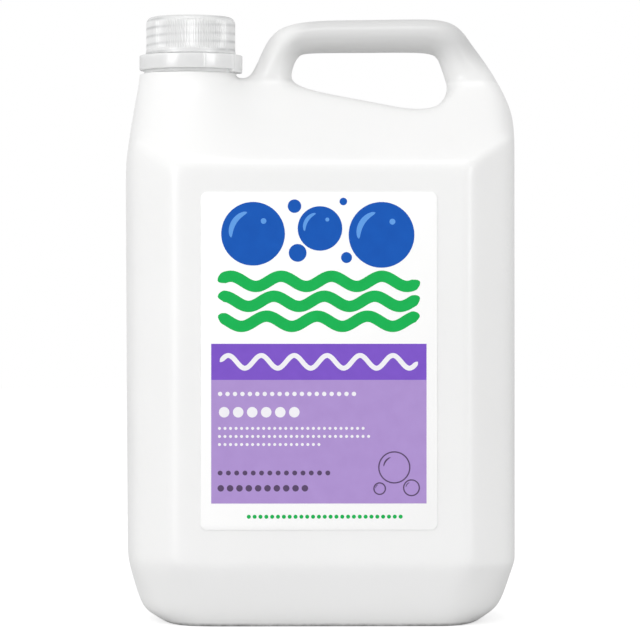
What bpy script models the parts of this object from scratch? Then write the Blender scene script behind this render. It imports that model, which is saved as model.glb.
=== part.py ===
"""Refill pack for hand soap: a five-litre blow-moulded bottle with its handle in one piece,
a screw cap with a sealing wad, a tamper ring on the neck and a film label on the front.

Metres, +Z up. The front with the label faces -Y, and the pack stands on z = 0.
"""

from math import cos, pi, radians, sin, tan, tau

import bmesh
import bpy
from mathutils import Vector

PARTS = "soap_refill_pack"
CUTTERS = "cutters"
GAP = 0.0003  # left between pieces that touch
FINE_EDGE = 0.0004  # the small bevel on thin moulded edges
TURN_STEPS = 40  # facets round the neck and the closure
SHARP_ANGLE = radians(32)  # faces that meet at more than this keep a crisp edge

# Body of the bottle. An outline is the reach of the parting line of the mould at the side,
# the corner where a side wall turns into the chamfer, and the edge of the flat panel
HALF_WIDTH = 0.0948
HALF_DEPTH = 0.065
WALL = 0.0019
CORNER_Y = 0.0475
PANEL_HALF = 0.0700
BODY_OUTLINE = (HALF_WIDTH, (0.0905, CORNER_Y), (PANEL_HALF, HALF_DEPTH))
PANEL_FOOT = 0.029  # heights of the panel's lower and upper crease
PANEL_HEAD = 0.2194
STRAIGHT_FOOT = 0.042  # the walls run straight between these heights
STRAIGHT_HEAD = 0.206
PANEL_COLUMNS = (-0.046, -0.030, -0.016, 0.002, 0.024, 0.044, 0.058)

# Foot: a flat standing rim round a shallow recess, which the pinched seam of the tube crosses
BEVEL_OUTLINE = (0.0872, (0.0826, 0.0425), (0.0658, 0.0570))
BEVEL_FOOT = 0.0065  # top of the small radius above the rim
RIM_OUTLINE = (0.0790, (0.0745, 0.0385), (0.0640, 0.0520))
RIM_INSET = 0.0085
RECESS_INSET = 0.0035
RECESS_DEPTH = 0.0020
PINCH_LENGTH = 0.110
PINCH_WIDTH = 0.0016
PINCH_DEPTH = 0.0012

# Shoulder, which rises from the panel's upper crease to the handle and the neck
SHOULDER_SLOPE = tan(radians(38))
SIDE_HEAD_LEFT = 0.2150  # where the two side walls start to round over
SIDE_HEAD_RIGHT = 0.2300
LEFT_FLANK = (-0.0945, 0.2390)  # x, z of the parting line halfway up the shoulder
LEFT_FLANK_FRONT = (-0.0890, -0.0340, 0.2470)
RIGHT_FLANK = (0.0971, 0.2443)
BOSS_RADII = (0.0258, 0.0258, 0.0258, 0.0258)  # the mound that carries the neck, from its left side
BOSS_HEIGHTS = (0.2605, 0.2600, 0.2590, 0.2598)
COLLAR_RADII = (0.0252, 0.0250, 0.0245, 0.0232, 0.0216)
COLLAR_HEIGHTS = (0.2654, 0.2654, 0.2653, 0.2650, 0.2646)
COLLAR_HEIGHT = 0.2653  # the neck rises from here

# Handle: sections from the root beside the neck to the root at the far end, each
# (centre x, centre z, angle of the outward normal in degrees, half width)
HANDLE_SECTIONS = (
    (-0.0237, 0.2650, 182, 0.0094),
    (-0.0211, 0.2717, 160, 0.0082),
    (-0.0169, 0.2811, 133, 0.0086),
    (-0.0060, 0.2837, 97, 0.0079),
    (0.0200, 0.2837, 90, 0.0079),
    (0.0460, 0.2842, 89, 0.0080),
    (0.0616, 0.2837, 62, 0.0094),
    (0.0662, 0.2749, 36, 0.0090),
    (0.0708, 0.2671, 28, 0.0104),
)
HANDLE_HALF_DEPTH = 0.0125

# Where the handle's posts stand on the shoulder: x, z on its front face and at the parting line
LEFT_ROOT = ((-0.0335, 0.2606), (-0.0165, 0.2606))
RIGHT_ROOT = ((0.0650, 0.2596), (0.0860, 0.2606))
LEFT_FOOT = ((-0.0380, 0.2642), (-0.0125, 0.2605))
RIGHT_FOOT = ((0.0616, 0.2564), (0.0890, 0.2588))
FINGER_FLOOR = ((0.000, 0.2552), (0.023, 0.2512), (0.045, 0.2460), (0.0590, 0.2484))
FLOOR_CROWN = 0.0010  # the floor of the finger hole is higher at the parting line

# A ring of six control points draws an ellipse five sixths of its size
HEXAGON = 6 / 5
# A ring of eight control points draws a circle this much smaller
OCTAGON = 6 / (4 + 2 * cos(pi / 4))

# How firmly the smooth form keeps an edge of its cage
SHARP = 1.0
FIRM = 0.7
MEDIUM = 0.4
SOFT = 0.3

# Neck and its thread
NECK_X = -0.0631
NECK_RADIUS = 0.0180
NECK_EDGE = 0.0006
NECK_FLARE = 0.0010
NECK_SINK = 0.0040  # the turned neck runs this far down into the collar
BORE_RADIUS = 0.0155
BORE_DEPTH = 0.035
RIM_HEIGHT = 0.2896
BEAD_RADIUS = 0.0204  # the bead holds the tamper ring down
BEAD_HEIGHT = 0.2716
BEAD_THICKNESS = 0.0008
BEAD_SLOPE = 0.0026
PITCH = 0.0040
THREAD_FOOT = 0.2775
THREAD_TURNS = 2.5
THREAD_RADIUS = 0.0012
THREAD_CENTRE = 0.0181
THREAD_STEPS = 20  # points in a turn

# Screw cap
CAP_RADIUS = 0.0214  # of the shell under the flutes
CAP_SKIRT_RADIUS = 0.0220
CAP_FOOT = 0.2755
CAP_HEAD = 0.2930
CAP_BORE_RADIUS = 0.0202
CAP_EDGE = 0.0034  # radius of the top edge
CAP_RIM = 0.0048  # breadth of the rim round the dished top
CAP_DISH = 0.0004
FLUTES = 108
FLUTE_RADIUS = 0.0217
FLUTE_VALLEY = 0.02142
FLUTE_FOOT = 0.2784
FLUTE_HEAD = 0.2894
CAP_THREAD_CENTRE = 0.0200
CAP_THREAD_RADIUS = 0.00125
CAP_THREAD_TURNS = 2.0
CAP_THREAD_START = 0.45  # turns round from the start of the neck's thread

# Sealing wad in the cap
LINER_THICKNESS = 0.0015
LINER_RADIUS = 0.0184

# Tamper ring: a band with a narrower lip under it and a fin folded up under the neck's bead
RING_RADIUS = 0.0250
RING_WALL = 0.0011
RING_EDGE = 0.0008
RING_FOOT = 0.2660
RING_STEP = 0.2671  # height of the step between the lip and the band
RING_HEAD = 0.2741
RING_LIP_RADIUS = 0.0227
RING_HOLE = 0.0206  # radius of the hole in its flat top
FIN_RADIUS = 0.0192
FIN_HEAD = 0.2710
BRIDGES = 12
BRIDGE_RADII = (0.0208, 0.0215)
BRIDGE_WIDTH = radians(3.5)
BRIDGE_TURN = radians(-11)  # the first bridge, from the front
SLIT_TURN = radians(16.5)  # from the front towards the right
SLIT_WIDTH = radians(2.0)
TAB_SPAN = radians(88)
TAB_FOOT = 0.2659
TAB_RISE = 0.0002  # how far the tab stands out of the band
TAB_STEPS = 10

# Label and the coloured fields printed on it
LABEL_X = -0.0016
LABEL_WIDTH = 0.1114
LABEL_FOOT = 0.0465
LABEL_HEAD = 0.2057
LABEL_THICKNESS = 0.00025
LABEL_CORNER = 0.0030
FIELD_HALF = 0.0510
FIELD_FOOT = 0.0590
BAND_FOOT = 0.1172
BAND_HEAD = 0.1342


def clear_scene():
    for obj in list(bpy.data.objects):
        bpy.data.objects.remove(obj, do_unlink=True)


def new_collection(name, helper=False):
    collection = bpy.data.collections.new(name)
    bpy.context.scene.collection.children.link(collection)
    collection.hide_render = helper


def plastic(name, colour, roughness, transmission=0.0):
    material = bpy.data.materials.new(name)
    material.use_nodes = True
    shader = material.node_tree.nodes["Principled BSDF"]
    shader.inputs["Base Color"].default_value = (*colour, 1.0)
    shader.inputs["Roughness"].default_value = roughness
    shader.inputs["Metallic"].default_value = 0.0
    shader.inputs["Transmission Weight"].default_value = transmission
    material.diffuse_color = (*colour, 1.0)
    return material


def new_object(name, bm, collection, material=None):
    mesh = bpy.data.meshes.new(name)
    bm.to_mesh(mesh)
    bm.free()
    obj = bpy.data.objects.new(name, mesh)
    bpy.data.collections[collection].objects.link(obj)
    if material:
        mesh.materials.append(material)
    if collection == CUTTERS:
        obj.hide_render = True
        obj.display_type = "WIRE"
    return obj


def boolean(obj, operation, cutter):
    modifier = obj.modifiers.new(f"{operation.lower()} {cutter.name}", "BOOLEAN")
    modifier.operation = operation
    modifier.solver = "EXACT"
    modifier.object = cutter


def evaluated_mesh(obj):
    bpy.context.view_layer.update()
    graph = bpy.context.evaluated_depsgraph_get()
    return bpy.data.meshes.new_from_object(obj.evaluated_get(graph))


def keep_finished_form(obj):
    """Turns the object's modifiers into its mesh, shaded smooth apart from its crisp edges."""
    mesh = evaluated_mesh(obj)
    obj.modifiers.clear()
    obj.data = mesh
    mesh.shade_smooth()
    mesh.set_sharp_from_angle(angle=SHARP_ANGLE)


def arc(centre, radius, start, end, steps):
    """Points of an arc in a (radius, height) profile, with its angles in degrees."""
    angles = [radians(start + (end - start) * i / steps) for i in range(steps + 1)]
    return [(centre[0] + radius * cos(a), centre[1] + radius * sin(a)) for a in angles]


def turned(name, profile, collection, material=None):
    """A profile of (radius, height) points, turned about the neck's axis.

    It closes on itself unless both of its ends lie on the axis.
    """
    bm = bmesh.new()
    points = [bm.verts.new((radius, 0.0, height)) for radius, height in profile]
    ends = [] if profile[0][0] == 0.0 else points[:1]
    for first, second in zip(points, points[1:] + ends):
        bm.edges.new((first, second))
    obj = new_object(name, bm, collection, material)
    obj.location.x = NECK_X
    screw = obj.modifiers.new("turn", "SCREW")
    screw.axis = "Z"
    screw.steps = TURN_STEPS
    screw.render_steps = TURN_STEPS
    screw.use_merge_vertices = True
    screw.merge_threshold = 0.00001
    return obj


def swept_block(name, radii, heights, start, span, steps=1):
    """A cutter with a square section, swept about the neck's axis from an angle off the front."""
    bm = bmesh.new()
    inner, outer = radii
    low, high = heights
    corners = ((inner, low), (outer, low), (outer, high), (inner, high))
    section = bm.faces.new([bm.verts.new((r * sin(start), -r * cos(start), z)) for r, z in corners])
    geometry = section.verts[:] + section.edges[:] + [section]
    bmesh.ops.spin(bm, geom=geometry, cent=(0, 0, 0), axis=(0, 0, 1), angle=span, steps=steps)
    bmesh.ops.recalc_face_normals(bm, faces=bm.faces)
    block = new_object(name, bm, CUTTERS)
    block.location.x = NECK_X
    return block


def helix_ridge(name, radius, ridge, foot, turns, first_turn=0.0):
    """A thread ridge about the neck's axis, made from a curve and fading out at both ends."""
    last = round(turns * THREAD_STEPS)
    fade = THREAD_STEPS / 6
    curve = bpy.data.curves.new(name, "CURVE")
    curve.dimensions = "3D"
    curve.bevel_depth = ridge
    curve.bevel_resolution = 1
    curve.use_fill_caps = True
    spline = curve.splines.new("POLY")
    spline.points.add(last)
    for i, point in enumerate(spline.points):
        turn = first_turn + i / THREAD_STEPS
        point.co = (radius * cos(tau * turn), radius * sin(tau * turn), foot + PITCH * turn, 1.0)
        point.radius = min(1.0, 0.35 + 0.65 * min(i, last - i) / fade)
    guide = bpy.data.objects.new(name, curve)
    bpy.context.scene.collection.objects.link(guide)
    bm = bmesh.new()
    bm.from_mesh(evaluated_mesh(guide))
    bmesh.ops.remove_doubles(bm, verts=bm.verts, dist=0.00001)
    bmesh.ops.recalc_face_normals(bm, faces=bm.faces)
    bpy.data.objects.remove(guide, do_unlink=True)
    ridge_object = new_object(name, bm, CUTTERS)
    ridge_object.location.x = NECK_X
    return ridge_object


def inset(outline, step):
    return (outline[0] - step, *((x - step, y - step) for x, y in outline[1:]))


def body_row(end_x, corner, edge, z):
    """One level of the body, from the left parting line over the front to the right one."""
    # Smoothing pulls the end point in towards the corners on both sides of it
    end_control = (6 * end_x - 2 * corner[0]) / 4
    left = [(-end_control, 0.0), (-corner[0], -corner[1]), (-edge[0], -edge[1])]
    middle = [(x * edge[0] / PANEL_HALF, -edge[1]) for x in PANEL_COLUMNS]
    right = [(-x, y) for x, y in reversed(left)]
    return [Vector((x, y, z)) for x, y in left + middle + right]


def body_rows():
    """The levels of the body from the recess in the base up to the panel's upper crease."""
    levels = (
        (inset(RIM_OUTLINE, RIM_INSET + RECESS_INSET), RECESS_DEPTH),
        (inset(RIM_OUTLINE, RIM_INSET), 0.0),
        (RIM_OUTLINE, 0.0),
        (BEVEL_OUTLINE, BEVEL_FOOT),
        (BODY_OUTLINE, PANEL_FOOT),
        (BODY_OUTLINE, STRAIGHT_FOOT),
        (BODY_OUTLINE, STRAIGHT_HEAD),
        (BODY_OUTLINE, PANEL_HEAD),
    )
    rows = [body_row(*outline, z) for outline, z in levels]
    head = rows[-1]
    for index in (1, -2):
        head[index].z = PANEL_HEAD + (HALF_DEPTH - CORNER_Y) * SHOULDER_SLOPE
    head[0].z = SIDE_HEAD_LEFT
    head[-1].z = SIDE_HEAD_RIGHT
    return rows


def on_shoulder(x, z):
    """The point of the sloping shoulder at a height."""
    return Vector((x, -HALF_DEPTH + (z - PANEL_HEAD) / SHOULDER_SLOPE, z))


def on_parting(x, z):
    return Vector((x, 0.0, z))


def neck_ring(radii, heights):
    """Control points round the front of the neck, an eighth of a turn apart, from the left."""
    points = []
    for i, (radius, height) in enumerate(zip(radii, heights)):
        reach = radius * OCTAGON
        turn = pi + pi * i / 4
        points.append(Vector((NECK_X + reach * cos(turn), reach * sin(turn), height)))
    return points


def handle_lines():
    """The four lines of control points along the handle: outer edge, two on the front, inner edge."""
    outer, front, lower, inner = [], [], [], []
    for x, z, angle, half in HANDLE_SECTIONS:
        centre = on_parting(x, z)
        normal = Vector((cos(radians(angle)), 0.0, sin(radians(angle))))
        depth = Vector((0.0, -HANDLE_HALF_DEPTH * HEXAGON * cos(pi / 6), 0.0))
        outer.append(centre + normal * half * HEXAGON)
        front.append(centre + normal * half * HEXAGON / 2 + depth)
        lower.append(centre - normal * half * HEXAGON / 2 + depth)
        inner.append(centre - normal * half * HEXAGON)
    return outer, front, lower, inner


def bridge(bm, lower, upper):
    for i in range(len(lower) - 1):
        bm.faces.new((lower[i], lower[i + 1], upper[i + 1], upper[i]))


def crease(bm, line, weight):
    layer = bm.edges.layers.float["crease_edge"]
    for pair in zip(line, line[1:]):
        bm.edges.get(pair)[layer] = weight


def bottle_cage():
    """The front half of the bottle as a coarse cage, open along the parting plane y = 0."""
    bm = bmesh.new()
    bm.edges.layers.float.new("crease_edge")

    def add(points):
        return [bm.verts.new(p) for p in points]

    rows = [add(row) for row in body_rows()]
    recess, standing, rim, bevel, foot, straight_foot, straight_head, head = rows
    outer, front, lower, inner = (add(line) for line in handle_lines())
    left_root = add([on_shoulder(*point) for point in LEFT_ROOT])
    right_root = add([on_shoulder(*point) for point in RIGHT_ROOT])
    left_foot = add([on_parting(*point) for point in LEFT_FOOT])
    right_foot = add([on_parting(*point) for point in RIGHT_FOOT])
    floor_edge = add([on_shoulder(*point) for point in FINGER_FLOOR])
    floor_middle = add([on_parting(x, z + FLOOR_CROWN) for x, z in FINGER_FLOOR])
    flank = add(neck_ring(BOSS_RADII, BOSS_HEIGHTS))
    collar = add(neck_ring(COLLAR_RADII, COLLAR_HEIGHTS))

    # Body and shoulder, up to the boss, the roots of the handle and the finger hole's floor
    shoulder_top = flank + left_root + floor_edge + right_root + right_foot[1:]
    halfway = add([(low.co + high.co) / 2 for low, high in zip(head, shoulder_top)])
    halfway[0].co = on_parting(*LEFT_FLANK)
    halfway[1].co = Vector(LEFT_FLANK_FRONT)
    halfway[-1].co = on_parting(*RIGHT_FLANK)
    rows += [halfway, shoulder_top]
    for low, high in zip(rows, rows[1:]):
        bridge(bm, low, high)
    bm.faces.new(reversed(recess))

    # Boss and collar, closed on top until the neck is joined on
    bridge(bm, flank + left_foot[:1], collar)
    bm.faces.new(collar)

    # Handle, with the dip between it and the boss, and the floor of the finger hole
    outer_line = left_foot[:1] + outer + right_foot[1:]
    front_line = left_root[:1] + front + right_root[1:]
    lower_line = left_root[1:] + lower + right_root[:1]
    inner_line = left_foot[1:] + inner + right_foot[:1]
    floor_line = left_root[1:] + floor_edge + right_root[:1]
    bm.faces.new((flank[3], front_line[0], outer_line[0]))
    bridge(bm, inner_line, lower_line)
    bridge(bm, lower_line, front_line)
    bridge(bm, front_line, outer_line)
    bridge(bm, floor_line, left_foot[1:] + floor_middle + right_foot[:1])

    for line in (recess, standing, rim):
        crease(bm, line, SHARP)
    for line in (foot, head):
        crease(bm, line[:3], SOFT)
        crease(bm, line[2:11], SHARP)
        crease(bm, line[10:], MEDIUM)
    for index, weight in ((1, SOFT), (2, SHARP), (10, SHARP), (11, MEDIUM)):
        crease(bm, [foot[index], straight_foot[index], straight_head[index], head[index]], weight)
    crease(bm, [head[11], halfway[11], shoulder_top[11]], SOFT)
    crease(bm, collar, FIRM)
    crease(bm, left_root, MEDIUM)
    crease(bm, right_root, MEDIUM)
    crease(bm, floor_line, MEDIUM)
    return bm


def smooth_form(obj, levels):
    mirror = obj.modifiers.new("back half", "MIRROR")
    mirror.use_axis = (False, True, False)
    mirror.use_clip = True
    mirror.merge_threshold = 0.00001
    surface = obj.modifiers.new("smooth form", "SUBSURF")
    surface.levels = levels
    surface.render_levels = levels


def make_neck():
    """The turned neck: collar, bead under the cap, plain wall and rounded rim."""
    inner = BORE_RADIUS - NECK_EDGE
    root = COLLAR_HEIGHT - NECK_SINK
    profile = [
        (inner, RIM_HEIGHT),
        (NECK_RADIUS - NECK_EDGE, RIM_HEIGHT),
        (NECK_RADIUS, RIM_HEIGHT - NECK_EDGE),
        (NECK_RADIUS, BEAD_HEIGHT + BEAD_SLOPE),
        (BEAD_RADIUS, BEAD_HEIGHT + BEAD_THICKNESS),
        (BEAD_RADIUS, BEAD_HEIGHT),
        (NECK_RADIUS, BEAD_HEIGHT - FINE_EDGE),
        (NECK_RADIUS, COLLAR_HEIGHT + NECK_FLARE),
        (NECK_RADIUS + NECK_FLARE, COLLAR_HEIGHT),
        (NECK_RADIUS + NECK_FLARE, root),
        (inner, root),
    ]
    return turned("neck_finish", profile, CUTTERS)


def make_pinch_seam():
    """The seam across the base where the mould pinched the parison shut."""
    seam = bmesh.new()
    bmesh.ops.create_cube(seam, size=1.0)
    bmesh.ops.scale(seam, vec=(PINCH_LENGTH, PINCH_WIDTH, PINCH_DEPTH + WALL), verts=seam.verts)
    seam_object = new_object("pinch_seam", seam, CUTTERS)
    seam_object.location.z = RECESS_DEPTH + (WALL - PINCH_DEPTH) / 2
    return seam_object


def make_cavity(cage):
    """The inside of the bottle, a wall's thickness in from the outside."""
    cavity = new_object("cavity", cage, CUTTERS)
    smooth_form(cavity, 1)
    shrink = cavity.modifiers.new("wall", "DISPLACE")
    shrink.mid_level = 0.0
    shrink.strength = -WALL
    return cavity


def make_bore():
    bore = bmesh.new()
    bmesh.ops.create_cone(
        bore, cap_ends=True, segments=TURN_STEPS, radius1=BORE_RADIUS, radius2=BORE_RADIUS, depth=BORE_DEPTH
    )
    bore_object = new_object("bore", bore, CUTTERS)
    bore_object.location = (NECK_X, 0.0, RIM_HEIGHT + GAP - BORE_DEPTH / 2)
    return bore_object


def make_bottle(material):
    cage = bottle_cage()
    inner_cage = cage.copy()
    bottle = new_object("bottle", cage, PARTS, material)
    smooth_form(bottle, 2)
    thread = helix_ridge("neck_thread", THREAD_CENTRE, THREAD_RADIUS, THREAD_FOOT, THREAD_TURNS)
    for piece in (make_neck(), thread, make_pinch_seam()):
        boolean(bottle, "UNION", piece)
    for cutter in (make_cavity(inner_cage), make_bore()):
        boolean(bottle, "DIFFERENCE", cutter)
    keep_finished_form(bottle)


def make_flutes():
    """A disc with a zigzag rim, whose points are the flutes of the cap."""
    flutes = bmesh.new()
    rim = bmesh.ops.create_circle(flutes, segments=2 * FLUTES, radius=FLUTE_RADIUS, cap_ends=True)
    for vert in rim["verts"][::2]:
        vert.co *= FLUTE_VALLEY / FLUTE_RADIUS
    grown = bmesh.ops.extrude_face_region(flutes, geom=flutes.faces[:])
    top = [item for item in grown["geom"] if isinstance(item, bmesh.types.BMVert)]
    bmesh.ops.translate(flutes, vec=(0.0, 0.0, FLUTE_HEAD - FLUTE_FOOT), verts=top)
    bmesh.ops.recalc_face_normals(flutes, faces=flutes.faces)
    sleeve = new_object("flutes", flutes, CUTTERS)
    sleeve.location = (NECK_X, 0.0, FLUTE_FOOT)
    return sleeve


def make_cap(material):
    """Fluted shell with a plain foot, hollowed out, and the thread that runs in the neck's."""
    dish = CAP_RADIUS - CAP_RIM
    outline = [(0.0, CAP_HEAD - CAP_DISH), (dish - CAP_DISH, CAP_HEAD - CAP_DISH), (dish, CAP_HEAD)]
    outline += arc((CAP_RADIUS - CAP_EDGE, CAP_HEAD - CAP_EDGE), CAP_EDGE, 90, 0, 4)
    outline += [
        (CAP_RADIUS, FLUTE_FOOT + GAP),
        (FLUTE_RADIUS, FLUTE_FOOT - GAP),
        (CAP_SKIRT_RADIUS, CAP_FOOT + FINE_EDGE),
        (CAP_SKIRT_RADIUS - FINE_EDGE, CAP_FOOT),
        (0.0, CAP_FOOT),
    ]
    cap = turned("screw_cap", outline, PARTS, material)
    boolean(cap, "UNION", make_flutes())

    seat = RIM_HEIGHT + LINER_THICKNESS + 2 * GAP
    mouth = CAP_FOOT - CAP_EDGE
    hollow = [
        (0.0, seat),
        (LINER_RADIUS + GAP, seat),
        (CAP_BORE_RADIUS, seat - LINER_THICKNESS),
        (CAP_BORE_RADIUS, mouth),
        (0.0, mouth),
    ]
    boolean(cap, "DIFFERENCE", turned("cap_hollow", hollow, CUTTERS))

    # Half a pitch below the neck's ridge, so that the two threads pass each other
    foot = THREAD_FOOT - PITCH / 2
    ridge = helix_ridge(
        "cap_thread", CAP_THREAD_CENTRE, CAP_THREAD_RADIUS, foot, CAP_THREAD_TURNS, CAP_THREAD_START
    )
    boolean(cap, "UNION", ridge)
    keep_finished_form(cap)


def make_liner(material):
    low = RIM_HEIGHT + GAP
    high = low + LINER_THICKNESS
    outline = [
        (0.0, high),
        (LINER_RADIUS - FINE_EDGE, high),
        (LINER_RADIUS, high - FINE_EDGE),
        (LINER_RADIUS, low + FINE_EDGE),
        (LINER_RADIUS - FINE_EDGE, low),
        (0.0, low),
    ]
    liner = turned("cap_liner", outline, PARTS, material)
    keep_finished_form(liner)


def make_ring_band(material):
    """The band, its lip and the fin, turned from one section."""
    band = RING_RADIUS - RING_EDGE
    inner = RING_RADIUS - RING_WALL
    lip = RING_LIP_RADIUS - RING_WALL
    outline = arc((band, RING_HEAD - RING_EDGE), RING_EDGE, 90, 0, 2)
    outline += arc((band, RING_STEP + RING_EDGE), RING_EDGE, 0, -90, 2)
    outline += [
        (RING_LIP_RADIUS, RING_STEP - GAP),
        (RING_LIP_RADIUS, RING_FOOT),
        (lip, RING_FOOT),
        (FIN_RADIUS, FIN_HEAD - FINE_EDGE),
        (FIN_RADIUS + FINE_EDGE, FIN_HEAD),
        (lip, RING_STEP + RING_WALL),
        (inner, RING_STEP + RING_WALL),
        (inner, RING_HEAD - RING_WALL),
        (RING_HOLE, RING_HEAD - RING_WALL),
        (RING_HOLE, RING_HEAD),
    ]
    return turned("tamper_ring", outline, PARTS, material)


def make_tamper_ring(material):
    """The band under the cap, with its tear tab beside a slit, and the bridges up to the cap."""
    ring = make_ring_band(material)
    inner = RING_RADIUS - RING_WALL
    tab = swept_block(
        "tear_tab",
        (inner + RING_WALL / 4, RING_RADIUS + TAB_RISE),
        (TAB_FOOT, RING_HEAD - RING_EDGE),
        SLIT_TURN + SLIT_WIDTH / 2,
        TAB_SPAN,
        TAB_STEPS,
    )
    boolean(ring, "UNION", tab)
    for index in range(BRIDGES):
        turn = BRIDGE_TURN + tau * index / BRIDGES - BRIDGE_WIDTH / 2
        heights = (RING_HEAD - FINE_EDGE, CAP_FOOT - GAP)
        boolean(ring, "UNION", swept_block(f"bridge_{index}", BRIDGE_RADII, heights, turn, BRIDGE_WIDTH))
    slit = swept_block(
        "slit",
        (inner - RING_EDGE, RING_RADIUS + RING_WALL),
        (TAB_FOOT - RING_WALL, RING_HEAD + RING_WALL),
        SLIT_TURN - SLIT_WIDTH / 2,
        SLIT_WIDTH,
    )
    boolean(ring, "DIFFERENCE", slit)
    keep_finished_form(ring)


def make_label(film, field, band):
    """A rounded sheet of film; its printed fields are materials on the front face."""
    bm = bmesh.new()
    bmesh.ops.create_cube(bm, size=1.0)
    size = (LABEL_WIDTH, LABEL_THICKNESS, LABEL_HEAD - LABEL_FOOT)
    bmesh.ops.scale(bm, vec=size, verts=bm.verts)
    across = [e for e in bm.edges if e.verts[0].co.y != e.verts[1].co.y]
    bmesh.ops.bevel(bm, geom=across, offset=LABEL_CORNER, segments=4, profile=0.5, affect="EDGES")

    middle = (LABEL_HEAD + LABEL_FOOT) / 2
    cuts = [((0, 0, height - middle), (0, 0, 1)) for height in (FIELD_FOOT, BAND_FOOT, BAND_HEAD)]
    cuts += [((side, 0, 0), (1, 0, 0)) for side in (-FIELD_HALF, FIELD_HALF)]
    for place, normal in cuts:
        everything = bm.verts[:] + bm.edges[:] + bm.faces[:]
        bmesh.ops.bisect_plane(bm, geom=everything, plane_co=place, plane_no=normal)
    for face in bm.faces:
        centre = face.calc_center_median()
        in_front = face.normal.y < -0.9 and abs(centre.x) < FIELD_HALF
        if in_front and FIELD_FOOT < centre.z + middle < BAND_HEAD:
            face.material_index = 2 if centre.z + middle > BAND_FOOT else 1
    label = new_object("front_label", bm, PARTS, film)
    label.data.materials.append(field)
    label.data.materials.append(band)
    label.location = (LABEL_X, -HALF_DEPTH - GAP - LABEL_THICKNESS / 2, middle)


def main():
    clear_scene()
    new_collection(PARTS)
    new_collection(CUTTERS, helper=True)
    white = plastic("white polyethylene", (0.88, 0.88, 0.87), 0.35)
    clear = plastic("translucent polypropylene", (0.86, 0.87, 0.88), 0.3, transmission=0.5)
    foam = plastic("white foam wad", (0.93, 0.93, 0.92), 0.8)
    film = plastic("white label film", (0.97, 0.97, 0.96), 0.3)
    violet = plastic("violet print", (0.42, 0.30, 0.64), 0.3)
    deep_violet = plastic("deep violet print", (0.21, 0.10, 0.57), 0.3)
    make_bottle(white)
    make_tamper_ring(clear)
    make_cap(clear)
    make_liner(foam)
    make_label(film, violet, deep_violet)


main()
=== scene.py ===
"""The looks of a hand soap refill pack: a white blow-moulded bottle with its handle moulded in, a
translucent screw cap over a tamper ring, and a printed film label, on a pale studio floor.

Metres, +Z up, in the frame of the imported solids. The front faces -Y.
"""

from math import cos, hypot, pi, radians, sin, sqrt, tan, tau

import bmesh
import bpy
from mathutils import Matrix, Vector


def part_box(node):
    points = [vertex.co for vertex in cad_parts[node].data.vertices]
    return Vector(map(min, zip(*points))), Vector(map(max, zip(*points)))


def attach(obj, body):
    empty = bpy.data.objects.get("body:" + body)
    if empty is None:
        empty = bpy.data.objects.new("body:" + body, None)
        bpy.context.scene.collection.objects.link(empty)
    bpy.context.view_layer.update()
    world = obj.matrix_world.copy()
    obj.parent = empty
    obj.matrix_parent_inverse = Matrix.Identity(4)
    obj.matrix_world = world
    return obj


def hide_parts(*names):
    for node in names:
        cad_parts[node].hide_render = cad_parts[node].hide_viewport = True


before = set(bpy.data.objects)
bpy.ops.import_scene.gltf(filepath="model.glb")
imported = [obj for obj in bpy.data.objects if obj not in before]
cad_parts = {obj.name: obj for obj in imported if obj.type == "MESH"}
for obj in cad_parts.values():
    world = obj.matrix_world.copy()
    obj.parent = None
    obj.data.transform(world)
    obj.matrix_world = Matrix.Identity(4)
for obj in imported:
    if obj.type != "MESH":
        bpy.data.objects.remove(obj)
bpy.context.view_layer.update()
bottle_low, bottle_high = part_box("bottle")
cap_low, cap_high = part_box("screw_cap")
ring_low, ring_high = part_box("tamper_ring")
wad_low, wad_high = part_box("cap_liner")
label_low, label_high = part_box("front_label")

# General
GAP = 0.0003  # left between pieces that touch
TINY = 1e-6  # lengths below this count as nothing
FINE_EDGE = 0.0004  # radius of the thin moulded edges
ROUND_SHARE = 0.45  # the most of a side that the rounding of one of its corners takes
SHARP_ANGLE = 35  # faces that meet at more degrees than this keep a crisp edge

# The parting line of the mould: how far it stands out, half the breadth of the strip it is raised
# from, and how far the base may turn down before the line ends
SEAM_RISE = 0.00022
SEAM_HALF = 0.00045
SEAM_END = -0.8

# Body of the bottle: the solids' cage, shifted a little to fit the photograph. An outline is the
# reach of the parting line at the side, the corner where a side wall turns into the chamfer, and
# the edge of the flat panel
HALF_WIDTH = bottle_high.x - SEAM_RISE
HALF_DEPTH = bottle_high.y
WALL = 0.0019
CORNER_Y = 0.0475
PANEL_HALF = 0.0700
BODY_OUTLINE = (HALF_WIDTH, (0.0905, CORNER_Y), (PANEL_HALF, HALF_DEPTH))
PANEL_FOOT = 0.029  # heights of the panel's lower and upper crease
PANEL_HEAD = 0.2194
STRAIGHT_FOOT = 0.042  # the walls run straight between these heights
STRAIGHT_HEAD = 0.206
LEAN_LEFT = 0.0011  # how far a side wall leans inwards on the way down to the base
LEAN_RIGHT = -0.0002
PANEL_COLUMNS = (-0.046, -0.030, -0.016, 0.002, 0.024, 0.044, 0.058)

# Foot: a flat standing rim round a shallow recess, which the pinched seam of the tube crosses
BEVEL_OUTLINE = (0.0876, (0.0829, 0.0425), (0.0658, 0.0570))
BEVEL_FOOT = 0.0065  # top of the small radius above the rim, and at its left and right ends
BEVEL_FOOT_LEFT = 0.0054
BEVEL_FOOT_RIGHT = 0.0078
RIM_OUTLINE = (0.0768, (0.0724, 0.0385), (0.0625, 0.0518))
RIM_INSET = 0.0085
RECESS_INSET = 0.0035
RECESS_DEPTH = 0.0020
PINCH_LENGTH = 0.110
PINCH_WIDTH = 0.0016
PINCH_DEPTH = 0.0012

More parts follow.
